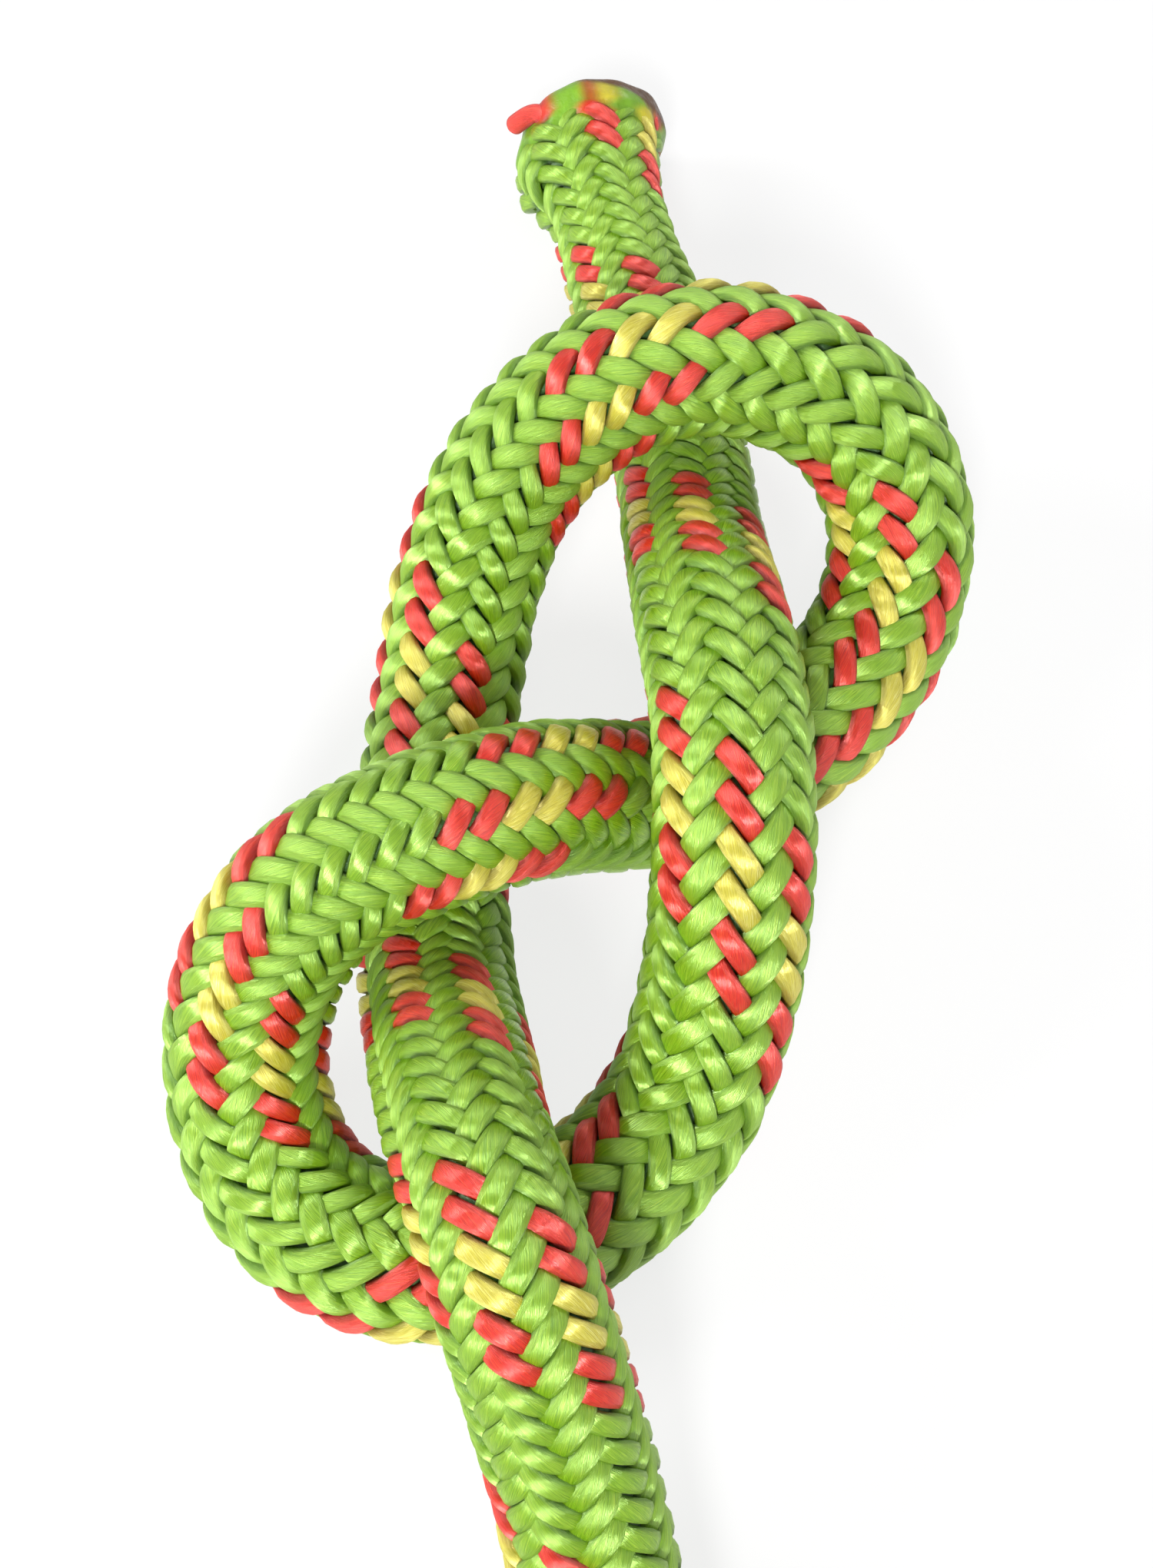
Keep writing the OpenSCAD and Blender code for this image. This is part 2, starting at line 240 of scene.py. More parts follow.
def hank_line():
    ends = [np.array([x, y, LYING_Z + lift * CROSSING_RISE]) for x, y, lift in KNOT_ROUTE[-2:]]
    heading = ends[1] - ends[0]
    start_x = HANK_MID_X + run_radius(0)
    lead = [ends[1], ends[1] + [heading[0], heading[1], 0]]
    lead += [(x, y, LYING_Z) for x, y in LEAD_ROUTE]
    lead += [(start_x, HANK_TOP_Y + y, LYING_Z) for y in (ROPE_D, ROPE_R, 0)]
    parts = [spline(lead, LEAD_STEPS)]
    for i in range(HANK_RUNS):
        parts.append(run_points(i, np.linspace(0, 1, RUN_STEPS)[1:]))
        if i < HANK_RUNS - 1:
            parts.append(fold_points(i, np.linspace(0, 1, FOLD_STEPS)[1:]))
    side = 1 if HANK_RUNS % 2 else -1
    last_x = HANK_MID_X + side * run_radius(HANK_RUNS - 1)
    down = [
        (last_x, HANK_BOTTOM_Y - share * END_RUN, (LYING_Z if lift == 1 else ROPE_R) + lift * TURN_STEP)
        for share, lift in END_ROUTE
    ]
    return np.vstack(parts + [spline(down, LEAD_STEPS)[1:]])


def along_lengths(line):
    return np.concatenate([[0], np.cumsum(np.linalg.norm(np.diff(line, axis=0), axis=1))])


class Route:
    """The rope's middle line by length along it, with side directions that never twist.

    It goes on straight for a spare length before its start, and beyond its end.
    """

    def __init__(self, line, beyond, step=0.25, spare=4.0):
        before = line[0] + unit(line[0] - line[1]) * spare
        after = line[-1] + unit(line[-1] - line[-2]) * beyond
        line = np.vstack([before, line, after])
        length = along_lengths(line) - spare
        self.at = np.arange(-spare, length[-1], step)
        self.end = length[-2]
        self.point = np.column_stack([np.interp(self.at, length, line[:, k]) for k in range(3)])
        head = np.gradient(self.point, axis=0)
        head /= np.linalg.norm(head, axis=1)[:, None]
        side = np.empty_like(head)
        now = np.cross(head[0], [0, 0, 1])
        for i, h in enumerate(head):
            now = now - now.dot(h) * h
            now = now / np.linalg.norm(now)
            side[i] = now
        self.head, self.side, self.up = head, side, np.cross(head, side)

    def look_up(self, values, s):
        return np.stack([np.interp(s, self.at, values[:, k]) for k in range(3)], axis=-1)

    def surface(self, s, angle, r):
        """Points r off the middle line at length s, and the directions outwards there."""
        out = (np.cos(angle)[..., None] * self.look_up(self.side, s)
               + np.sin(angle)[..., None] * self.look_up(self.up, s))
        out /= np.linalg.norm(out, axis=-1)[..., None]
        return self.look_up(self.point, s) + np.asarray(r)[..., None] * out, out


knot_path = knot_line()
KNOT_LENGTH = along_lengths(knot_path)[-1]
route = Route(np.vstack([knot_path, hank_line()[1:]]) + ROUTE_SHIFT, beyond=STUB_LENGTH + 1)


# ---- the yarns' run ----

def lay_tables():
    """The braid's lay and twist at each step of the route."""
    turns = spline(LAY, LAY_FINENESS)[:, 0] + LAY_START
    twist = spline(TWIST, LAY_FINENESS)[:, 0]
    marks = np.arange(len(turns)) * LAY_STEP / LAY_FINENESS
    s = route.at
    lay = np.interp(s, marks, turns)
    lay += np.minimum(s, 0) * (turns[1] - turns[0]) / (marks[1] - marks[0])
    lay += np.maximum(s - marks[-1], 0) * YARNS / PITCH
    return lay, np.interp(s, marks, twist)


lay_turns, lay_twist = lay_tables()


def lay_at(s):
    return np.interp(s, route.at, lay_turns)


def length_at(turns):
    return np.interp(turns, lay_turns, route.at)


def crowding_at(s):
    return CROWDING * np.clip((KNOT_LENGTH - s) / CROWDING_FADE, 0, 1)


def yarn_angle(number, hand, s):
    """Angle round the rope of a yarn's middle, in radians, and the yarns it has crossed by then."""
    crossing = 2 * number + hand * 2 * lay_at(s)
    angle = np.radians(crossing * 180 / YARNS + np.interp(s, route.at, lay_twist))
    return angle - crowding_at(s) * np.sin(angle - TOP_ANGLE), crossing


def wave_at(crossing, hand):
    """Height of a yarn that goes over two others and under the next two, from -1 to 1."""
    return -hand * np.cos(np.pi * (crossing - 0.5) / 2)


# How far the sheath stands out near the melted tail: to its left, to its right, over and under it
TAIL_MARKS = [-2, 0, 2, 4, 5, 6, 7.5, 9, 12, 15, 20]
TAIL_LEFT = [-0.3, 0.6, 1.35, 1.45, 0.7, 0, -0.5, -0.6, -0.5, -0.3, 0]
TAIL_RIGHT = [0.6, 1.05, 0.4, 0, -0.1, -0.25, -0.35, -0.35, -0.33, -0.2, 0]
TAIL_OVER = [0.6, 0.6, 0.45, 0.3, 0.15, 0, -0.25, -0.4, -0.4, -0.25, 0]
TAIL_SIDE_FALL = 1.5       # how fast its left and right give way to over and under


def tail_flare(s, angle):
    """Change of the sheath's radius where the hot end has let it loosen, and where it draws in."""
    left = np.clip(np.cos(angle), 0, 1) ** TAIL_SIDE_FALL
    right = np.clip(-np.cos(angle), 0, 1) ** TAIL_SIDE_FALL
    return (left * np.interp(s, TAIL_MARKS, TAIL_LEFT) + right * np.interp(s, TAIL_MARKS, TAIL_RIGHT)
            + (1 - left - right) * np.interp(s, TAIL_MARKS, TAIL_OVER))


def along_stretch(s, start, end, rise, fall):
    """1 within a stretch of the rope, with a smooth way up from 0 and down to it."""
    return smooth(np.clip((s - start) / rise, 0, 1)) * smooth(np.clip((end - s) / fall, 0, 1))


def pressed(s, angle):
    """Share by which the strand that comes over last is pressed flat on its right."""
    return along_stretch(s, *PRESSED_STRETCH) * np.clip(-np.cos(angle), 0, 1) ** 2


def puffed(s):
    """Share of the floats' extra roundness, in the tight bend over the top of the knot."""
    return along_stretch(s, *PUFFED_STRETCH)


def braid_at(s, angle):
    """Relief of the braid there, from 0 to 1, and the number of the left-hand yarn on top or -1."""
    # The place round an even braid, found by turning the crowding back in a few rounds
    even = angle
    for _ in range(4):
        even = angle + crowding_at(s) * np.sin(even - TOP_ANGLE)
    place = (even - np.radians(np.interp(s, route.at, lay_twist))) * YARNS / (2 * np.pi)
    heights, numbers = [], []
    for hand in (-1, 1):
        number = np.rint(place - hand * lay_at(s))
        away = place - hand * lay_at(s) - number
        crown = wave_at(2 * number + hand * 2 * lay_at(s), hand)
        heights.append((crown + np.sqrt(np.clip(1 - (2 * away) ** 2, 0, 1))) / 2)
        numbers.append(number % YARNS)
    left_on_top = heights[0] > heights[1]
    return np.clip(np.maximum(*heights), 0, 1), np.where(left_on_top, numbers[0], -1)


def soft_floor(points, edge=1.0, least=0.02):
    """Points that would sink into the surface are eased to lie on it."""
    z = points[..., 2]
    low = least + (edge - least) * np.exp(np.minimum(z - edge, 0) / (edge - least))
    points[..., 2] = np.where(z < edge, low, z)
    return points


def waver(s, size, length, phase):
    return size * np.sin(s / length + phase)


def level_yarn(number, hand, s):
    """Middle of a yarn if it neither rose nor dived, and the directions outwards there."""
    return route.surface(s, yarn_angle(number, hand, s)[0], np.full_like(s, BRAID_R))


def yarn_space(number, hand, s):
    """Width that a yarn has to itself between its neighbours, square to its run."""
    run = unit(np.gradient(level_yarn(number, hand, s)[0], axis=0))
    gap = (level_yarn(number + 1, hand, s)[0] - level_yarn(number - 1, hand, s)[0]) / 2
    gap = gap - (gap * run).sum(1)[:, None] * run
    return np.linalg.norm(gap, axis=1)


def yarn_height(hand, s, angle, space, crown, phases):
    """How far a yarn's middle lies from the rope's, as it rises and dives."""
    flattened = pressed(s, angle)
    crowded = np.clip((CROWDED_SPACE - space) / (CROWDED_SPACE - PACKED_SPACE), 0, 1)
    depth = WEAVE_DEPTH * (1 + waver(s, *DEPTH_WAVER, phases[2]) + PUFF_DEPTH * puffed(s))
    depth = depth * (1 - PRESSED_LOSS * flattened) * (1 - CROWDED_LOSS * crowded)
    tuck = TUCK_DEPTH * np.clip((TUCK_START - s) / TUCK_LENGTH, 0, 1) ** 2
    r = BRAID_R - hand * HAND_STEP + depth * crown + waver(s, *HEIGHT_WAVER, phases[3])
    return r + tail_flare(s, angle) - PRESSED_IN * flattened - tuck


def yarn_section(sides, roundness):
    """Outline of a yarn's section at each row, from -1 to 1 across it and outwards."""
    c, d = np.cos(full_turn(sides)), np.sin(full_turn(sides))
    return np.sign(c) * abs(c) ** roundness[:, None], np.sign(d) * abs(d) ** roundness[:, None]


def yarn_strip(number, hand, turns, sides, seed):
    """One yarn's points, in rows along it and columns round it, its lengths and its crown."""
    s = length_at(turns)
    angle, crossing = yarn_angle(number, hand, s)
    phases = np.random.default_rng(seed).uniform(0, 2 * np.pi, 4)
    puff, wave = puffed(s), wave_at(crossing, hand)
    crown = np.tanh(FLOAT_FLATNESS * wave) / np.tanh(FLOAT_FLATNESS)
    crown = crown + puff * (wave - crown)
    space = yarn_space(number, hand, s)
    width = YARN_FILL[hand] + FLOAT_SPREAD * crown + puff * (PUFF_SPREAD * crown - PUFF_NARROWING)
    width = width * space
    thick = YARN_THICK * np.sqrt(USUAL_WIDTH / np.clip(width, LEAST_WIDTH, MOST_WIDTH))
    r = yarn_height(hand, s, angle, space, crown, phases)
    aside = sum(waver(s, *how, phase) for how, phase in zip(SIDE_WAVERS, phases))
    middle, _ = route.surface(s, angle + aside / BRAID_R, r)
    _, out = level_yarn(number, hand, s)
    head = unit(np.gradient(middle, axis=0))
    out = unit(out - (out * head).sum(1)[:, None] * head)
    across = np.cross(head, out)
    x, y = yarn_section(sides, SECTION_ROUNDNESS + PUFF_ROUNDNESS * puff)
    outwards = np.maximum(thick[:, None] * y / 2, (INNER_R - r)[:, None])
    points = (middle[:, None] + (width[:, None] * x / 2)[..., None] * across[:, None]
              + outwards[..., None] * out[:, None])
    return soft_floor(points), along_lengths(middle), crown


# ---- pieces ----

STRIP_SPACING = 3          # from one strip's UV map to the next, so that no two look alike


def add_piece(name, mesh, material, body="root"):
    obj = bpy.data.objects.new(name, mesh)
    bpy.context.scene.collection.objects.link(obj)
    mesh.materials.append(material)
    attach(obj, body)
    return obj


def rolled_strips(name, rows, sides, count):
    """Mesh of strips rolled into closed tubes; x is the row, y the column, z the strip."""
    bm = bmesh.new()
    bm.loops.layers.uv.new("UVMap")
    for k in range(count):
        bmesh.ops.create_grid(
            bm, x_segments=rows - 1, y_segments=sides, size=1, calc_uvs=True,
            matrix=Matrix.Translation((0, 0, k)),
        )

    def place(v):
        return round((v.co.x + 1) * (rows - 1) / 2), round(v.co.z)

    # The last column of each strip, at y = 1, is joined to its first, at y = -1
    bm.verts.ensure_lookup_table()
    first = {place(v): v for v in bm.verts if v.co.y < -0.999}
    targets = {v: first[place(v)] for v in bm.verts if v.co.y > 0.999}
    bmesh.ops.weld_verts(bm, targetmap=targets)
    bmesh.ops.holes_fill(bm, edges=[e for e in bm.edges if e.is_boundary], sides=0)
    mesh = bpy.data.meshes.new(name)
    bm.to_mesh(mesh)
    bm.free()
    mesh.shade_smooth()
    return mesh


def grid_places(mesh, rows, sides):
    """Row, column and strip of each point of strips that aren't placed yet."""
    flat = np.empty(len(mesh.vertices) * 3)
    mesh.vertices.foreach_get("co", flat)
    x, y, z = flat.reshape(-1, 3).T
    row = np.rint((x + 1) * (rows - 1) / 2).astype(int)
    column = np.rint((y + 1) * sides / 2).astype(int)
    return row, column, np.rint(z).astype(int)


def read_uv(mesh):
    uv = np.empty(len(mesh.loops) * 2)
    mesh.uv_layers["UVMap"].data.foreach_get("uv", uv)
    return uv.reshape(-1, 2)


def write_uv(mesh, uv):
    mesh.uv_layers["UVMap"].data.foreach_set("uv", uv.ravel())


def place_strips(mesh, strips, rows, sides, numbers=(0,), turned=(1,), tints=None):
    """Carries rolled strips to their points, and gives them a UV map in millimetres along them.

    Each strip is its points, its lengths and its crown. Its number moves its UV map aside, and
    turned is 1 or -1, the way round the strip in which that map goes.
    """
    row, column, strip = grid_places(mesh, rows, sides)
    points, lengths, crowns = (np.stack(values) for values in zip(*strips))
    mesh.vertices.foreach_set("co", (points[strip, row, column] * MM).ravel())
    crown = mesh.attributes.new("crown", "FLOAT", "POINT")
    crown.data.foreach_set("value", crowns[strip, row])
    if tints is not None:
        colours = np.ones((len(row), 4))
        colours[:, :3] = tints[row, column, :3]
        tint = mesh.attributes.new("tint", "FLOAT_COLOR", "POINT")
        tint.data.foreach_set("color", colours.ravel())
    loops = np.empty(len(mesh.loops), dtype=np.int32)
    mesh.loops.foreach_get("vertex_index", loops)
    which = strip[loops]
    uv = read_uv(mesh)
    place = np.rint(uv[:, 0] * (rows - 1)).astype(int)
    uv[:, 0] = lengths[which, np.clip(place, 0, rows - 1)]
    uv[:, 1] = np.array(turned)[which] * uv[:, 1] + np.array(numbers)[which] * STRIP_SPACING
    write_uv(mesh, uv)
    mesh.update()


def yarn_group(name, members, turns, sides, material):
    """One piece of neighbouring yarns; members are (number, hand, seed)."""
    mesh = rolled_strips(name, len(turns), sides, len(members))
    strips = [yarn_strip(number, hand, turns, sides, seed) for number, hand, seed in members]
    place_strips(mesh, strips, len(turns), sides, [seed for _, _, seed in members],
                 [-hand for _, hand, _ in members])
    return add_piece(name, mesh, material)


# ---- materials ----

class Nodes:
    """A material's node tree, with short ways to add and join nodes."""

    def __init__(self, name):
        self.material = bpy.data.materials.new(name)
        self.material.use_nodes = True
        self.tree = self.material.node_tree
        self.shader = self.tree.nodes["Principled BSDF"]

    def add(self, kind, values=(), **settings):
        node = self.tree.nodes.new("ShaderNode" + kind)
        for key, value in settings.items():
            setattr(node, key, value)
        for key, value in dict(values).items():
            if isinstance(value, bpy.types.NodeSocket):
                self.tree.links.new(value, node.inputs[key])
            else:
                node.inputs[key].default_value = value
        return node

    def math(self, operation, a, b=0.0):
        return self.add("Math", {0: a, 1: b}, operation=operation).outputs[0]

    def mix(self, factor, a, b, blend="MIX"):
        node = self.add("Mix", {0: factor, 6: a, 7: b}, data_type="RGBA", blend_type=blend)
        return node.outputs[2]

    def blend(self, a, b, share_a, share_b):
        """Sum of two values, each times its share."""
        return self.math("ADD", self.math("MULTIPLY", a, share_a), self.math("MULTIPLY", b, share_b))

    def scaled(self, along, across, scale_along, scale_across):
        """Place on a surface, finer or coarser along it than across it."""
        values = {0: self.math("MULTIPLY", along, scale_along),
                  1: self.math("MULTIPLY", across, scale_across)}
        return self.add("CombineXYZ", values).outputs[0]

    def spread(self, value, low, high, to_low=0.0, to_high=1.0, kind="LINEAR"):
        """Carries the values from low to high to those from to_low to to_high."""
        values = {0: value, 1: low, 2: high, 3: to_low, 4: to_high}
        return self.add("MapRange", values, interpolation_type=kind).outputs[0]

    def noise(self, where, scale, detail):
        return self.add("TexNoise", {"Vector": where, "Scale": scale, "Detail": detail}).outputs[0]

    def bump(self, height, distance, strength):
        values = {"Height": height, "Distance": distance, "Strength": strength}
        return self.add("Bump", values).outputs[0]

    def uv(self):
        """Millimetres along the piece, and the way round or across it."""
        split = self.add("SeparateXYZ", {0: self.add("UVMap", uv_map="UVMap").outputs[0]})
        return split.outputs[0], split.outputs[1]

    def set(self, **values):
        for key, value in values.items():
            socket = self.shader.inputs[key.replace("_", " ").title().replace("Ior", "IOR")]
            if isinstance(value, bpy.types.NodeSocket):
                self.tree.links.new(value, socket)
            else:
                socket.default_value = value


def rgb(r, g, b):
    """Colour given as screen values from 0 to 255."""
    def linear(v):
        v /= 255
        return v / 12.92 if v <= 0.04045 else ((v + 0.055) / 1.055) ** 2.4
    return (linear(r), linear(g), linear(b), 1)


FIBRE_LEAN = 0.08          # share of the way round a yarn that its fibres turn in a millimetre
FIBRE_TURN = 0.05          # the same lean as a share of a full turn, for the sheen
# How fine the streaks of the fibres are along the yarn and round it
COARSE_STREAKS = (0.25, 110.0)
FINE_STREAKS = (1.6, 240.0)


def yarn_material(name, hand, dark, base, light):
    """Silky multifilament yarn: fine streaks along it, and a sheen across its fibres."""
    n = Nodes(name)
    along, way_round = n.uv()
    # Fibres wind slowly round the yarn, so the streaks lean towards the rope's own direction
    lean = n.math("ADD", way_round, n.math("MULTIPLY", along, FIBRE_LEAN))
    coarse = n.noise(n.scaled(along, lean, *COARSE_STREAKS), 1.0, 2.0)
    fine = n.noise(n.scaled(along, lean, *FINE_STREAKS), 1.0, 2.0)
    strands = n.blend(coarse, fine, 0.5, 0.5)
    shades = n.add("ValToRGB", {0: n.spread(strands, 0.28, 0.72)})
    ramp = shades.color_ramp
    ramp.elements[0].color, ramp.elements[1].color = dark, light
    ramp.elements.new(0.5).color = base
    # Where a yarn dives under its neighbours it lies in their shade, painted here as a darker colour
    crown = n.add("Attribute", attribute_name="crown").outputs["Fac"]
    painted_dive_shade = n.spread(crown, 0.35, -0.45, kind="SMOOTHSTEP")
    # Its two sides, where it meets the next yarns, get painted shade too
    sideways = n.math("ABSOLUTE", n.math("COSINE", n.math("MULTIPLY", way_round, 2 * math.pi)))
    edge = n.spread(sideways, 0.7, 1.0, to_high=0.5, kind="SMOOTHSTEP")
    shade = n.math("MAXIMUM", n.math("MULTIPLY", painted_dive_shade, 0.95), edge)
    n.set(base_color=n.mix(shade, shades.outputs[0], dark, "MULTIPLY"),
          normal=n.bump(strands, 0.00016, 0.8), roughness=0.35, metallic=0.36, anisotropic=1.0,
          anisotropic_rotation=0.25 + hand * FIBRE_TURN, sheen_weight=0.05, sheen_roughness=0.4,
          sheen_tint=light, specular_ior_level=0.85, ior=1.75)
    tangent = n.add("Tangent", direction_type="UV_MAP", uv_map="UVMap").outputs[0]
    n.tree.links.new(tangent, n.shader.inputs["Tangent"])
    return n.material


GREENS = rgb(76, 128, 4), rgb(138, 188, 26), rgb(196, 226, 70)
REDS = rgb(150, 10, 4), rgb(234, 30, 8), rgb(252, 104, 48)
YELLOWS = rgb(160, 138, 8), rgb(222, 210, 54), rgb(254, 252, 180)
green_left = yarn_material("green_yarn_left", -1, *GREENS)
green_right = yarn_material("green_yarn_right", 1, *GREENS)
red_yarn = yarn_material("red_yarn", -1, *REDS)
yellow_yarn = yarn_material("yellow_yarn", -1, *YELLOWS)


def melted_material():
    """Yarn ends fused into one skin: satin, uneven, with the tint of the yarns that ran into it and
    painted shade in the braid's grooves.
    """
    n = Nodes("melted_yarn")
    where = n.add("TexCoord").outputs["Object"]
    tint = n.add("Attribute", attribute_name="tint").outputs["Color"]
    blotches = n.noise(where, 700.0, 4.0)
    pits = n.noise(where, 2600.0, 3.0)
    tone = n.spread(blotches, 0.3, 0.7, 0.7, 1.1)
    n.set(base_color=n.mix(1.0, tint, tone, "MULTIPLY"), roughness=n.spread(pits, 0.3, 0.7, 0.28, 0.55),
          normal=n.bump(n.blend(blotches, pits, 0.7, 0.3), 0.0004, 0.5), coat_weight=0.1,
          coat_roughness=0.3, specular_ior_level=0.35)
    return n.material


def gap_shade_material():
    """Painted shade in the gaps between the yarns: the green of the yarns beneath, darkened as shade."""
    n = Nodes("painted_gap_shade")
    fluff = n.noise(n.add("UVMap", uv_map="UVMap").outputs[0], 3.0, 3.0)
    n.set(base_color=n.mix(fluff, rgb(46, 78, 12), rgb(84, 130, 30)), roughness=0.85)
    return n.material


def core_material():
    """Undyed cord of the core: white, with a faint streak and a soft sheen."""
    n = Nodes("core_white")
    where = n.add("TexCoord").outputs["Object"]
    strands = n.noise(where, 1500.0, 3.0)
    plies = n.add("TexWave", {"Vector": where, "Scale": 120.0, "Distortion": 2.0, "Detail": 2.0},
                  bands_direction="DIAGONAL").outputs[1]
    height = n.math("ADD", n.math("MULTIPLY", strands, 0.3), plies)
    n.set(base_color=n.mix(strands, rgb(214, 210, 198), rgb(244, 243, 238)), roughness=0.6,
          normal=n.bump(height, 0.0003, 0.6), sheen_weight=0.3)
    return n.material


WARP_PITCH = 0.8           # across the webbing
WEFT_PITCH = 1.1           # along it


def webbing_material():
    """Flat woven webbing: warp ribs that rise and dip in turn, rib beside rib."""
    n = Nodes("webbing_charcoal")
    along, across = n.uv()
    rib = n.math("DIVIDE", across, WARP_PITCH)
    odd = n.math("MULTIPLY", n.math("FLOOR", rib), 0.5)
    rounded = n.math("ABSOLUTE", n.math("SINE", n.math("MULTIPLY", rib, math.pi)))
    pick = n.math("ADD", n.math("DIVIDE", along, 2 * WEFT_PITCH), odd)
    rise = n.math("SINE", n.math("MULTIPLY", pick, 2 * math.pi))
    height = n.blend(rounded, rise, 0.6, 0.4)
    fluff = n.noise(n.scaled(along, across, 1.5, 14.0), 1.0, 3.0)
    # The weave's dips are painted darker as shade, and the fluff varies the tone at random
    tone = n.spread(n.math("ADD", height, fluff), 0.2, 1.5)
    rough = n.math("ADD", height, n.math("MULTIPLY", fluff, 0.3))
    n.set(base_color=n.mix(tone, rgb(22, 22, 26), rgb(92, 94, 102)), roughness=0.62,
          normal=n.bump(rough, 0.00025, 0.8), sheen_weight=0.25, sheen_roughness=0.4)
    return n.material


def thread_material():
    """Twisted sewing thread."""
    n = Nodes("sewing_thread")
    along, way_round = n.uv()
    twist = n.blend(along, way_round, 2.2, 3.0)
    ply = n.math("ABSOLUTE", n.math("SINE", n.math("MULTIPLY", twist, math.pi)))
    # The grooves between the plies are painted darker as shade
    n.set(base_color=n.mix(ply, rgb(104, 106, 110), rgb(196, 198, 200)), roughness=0.5,
          normal=n.bump(ply, 0.0001, 0.8))
    return n.material


melted_yarn = melted_material()
painted_gap_shade = gap_shade_material()
core_white = core_material()
webbing_charcoal = webbing_material()
sewing_thread = thread_material()

# ---- the braided sheath, and the dark tube of painted shade under it ----

COLOURS = {"red": red_yarn, "yellow": yellow_yarn, "left": green_left, "right": green_right}
# Two neighbouring yarns make a piece: its name, their hand and the first one's number
YARN_PAIRS = [("red_1", -1, 0), ("yellow_1", -1, 2), ("red_2", -1, 4)]
YARN_PAIRS += [(f"left_{1 + k}", -1, 6 + 2 * k) for k in range(3)]
YARN_PAIRS += [(f"right_{1 + k}", 1, 2 * k) for k in range(6)]
YARN_TIPS = -1.0           # where the yarns begin, inside the tail's melted skin


def stretch_turns(start, end, per_turn):
    """Places of the rows between two lengths, per_turn rows for each turn of the braid."""
    a, b = lay_at(start), lay_at(end)
    return np.linspace(a, b, int(abs(b - a) * per_turn / YARNS) + 1)


def sheath(stretch, start, end, per_turn, sides):
    """The 24 yarns along one stretch of the rope, two by two."""
    turns = stretch_turns(start, end, per_turn)
    made = []
    for name, hand, number in YARN_PAIRS:
        members = [(number + k, hand, number + k + (0 if hand < 0 else YARNS)) for k in (0, 1)]
        made.append(yarn_group(f"{stretch}_yarns_{name}", members, turns, sides,
                               COLOURS[name.split("_")[0]]))
    return made


def gap_shade_tube(name, start, end, step, sides):
    """Dark tube of painted shade under the yarns, and the rope's middle line along it, in metres."""
    s = np.linspace(start, end, int((end - start) / step) + 1)
    turn = full_turn(sides)
    points, _ = route.surface(
        np.repeat(s[:, None], sides + 1, axis=1), np.repeat(turn[None], len(s), axis=0),
        GAP_SHADE_R + tail_flare(s[:, None], turn[None]),
    )
    mesh = rolled_strips(name, len(s), sides, 1)
    place_strips(mesh, [(soft_floor(points), s, np.zeros_like(s))], len(s), sides)
    path = route.look_up(route.point, s) * MM
    return add_piece(name, mesh, painted_gap_shade), [tuple(p) for p in path]


knot_yarns = sheath("sheath", YARN_TIPS, KNOT_LENGTH, per_turn=96, sides=10)
hank_yarns = sheath("hank", KNOT_LENGTH, route.end, per_turn=48, sides=6)
knot_gap_shade, knot_points = gap_shade_tube("sheath_lining", 0.0, KNOT_LENGTH, step=0.8, sides=16)
hank_lining, hank_points = gap_shade_tube("hank_lining", KNOT_LENGTH, route.end, step=1.6, sides=12)
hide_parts("sheath")
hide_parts("hank")

# ---- the melted ends ----

RED_TINT, YELLOW_TINT, GREEN_TINT = rgb(222, 50, 30), rgb(214, 200, 60), rgb(120, 168, 42)
YARN_TINTS = {0: RED_TINT, 1: RED_TINT, 2: YELLOW_TINT, 3: YELLOW_TINT, 4: RED_TINT, 5: RED_TINT}
BURNT = rgb(88, 54, 12)
SKIN_STEPS = 4             # rows of a melted skin to each point of its profile
SKIN_SIDES = 144
LAST_STITCH = 0.6          # from there on the tail's pattern is drawn out to its rim
TINT_BLENDS = 3            # how often each tint is mixed with the ones beside it

# Profiles of the melted skins: length along the rope and radius
TAIL_PROFILE = [
    (3.0, 4.3), (2.2, 4.9), (1.4, 5.35), (0.6, 5.55), (-0.2, 5.6), (-0.9, 5.6), (-1.45, 5.45),
    (-1.85, 5.0), (-2.05, 4.2), (-2.0, 3.0), (-1.85, 1.8), (-1.9, 0.7), (-1.92, 0.25),
]
STUB_START = [(-1.2, 4.2), (-0.6, 5.0), (0.2, 5.4)]
STUB_TIP = [
    (-1.2, 5.35), (-0.6, 5.0), (-0.25, 4.3), (-0.05, 3.2), (-0.1, 1.6), (-0.12, 0.6), (-0.12, 0.25),
]
STUB_ROW = 0.8             # between the rows of its round stretch

TAIL_RIM = -1.6            # past it the skin flares no further
TAIL_RELIEF = 0.35         # how deep the braid shows in the skin
TAIL_BARE = -1.0           # from there to the rim it doesn't show
TAIL_RELIEF_RISE = 2.5     # length over which it comes up
FLAME_FROM = 1.15 * np.pi
BURNT_LEAST = -1.7         # how far down the rope the tail is burnt on the side away from the flame
BURNT_MORE = 2.3           # and how much further on the side towards it
TAIL_BURNT_FADE = 0.5

STUB_SLIMMER = 0.12        # how much the rope draws in as it fuses
STUB_RIPPLE = 0.8          # the stub's unevenness as a share of the tail's
STUB_LEAST_RELIEF = 0.1    # how deep the braid shows on its tip
STUB_MORE_RELIEF = 0.45    # and how much deeper where it begins
STUB_TIP_LENGTH = 3.5
STUB_RELIEF_RISE = 6.0
STUB_BURNT = 2.2           # length of its tip that is burnt
STUB_BURNT_FADE = 1.2

# The loose yarn end's run: length along the rope, degrees round it and distance from its middle
LOOSE_MARKS = [(1.2, 303, 4.8), (0.2, 311, 5.4), (-0.7, 318, 5.9), (-0.65, 327, 6.45),
               (-0.45, 335, 7.0), (-0.3, 338, 7.3)]
LOOSE_HALF_WIDTH, LOOSE_HALF_THICK = 0.8, 0.6
LOOSE_TIP = 0.7            # length of its rounded tip
LOOSE_FACE = (0.3, -0.4, 0.85)    # direction that its flat side looks in


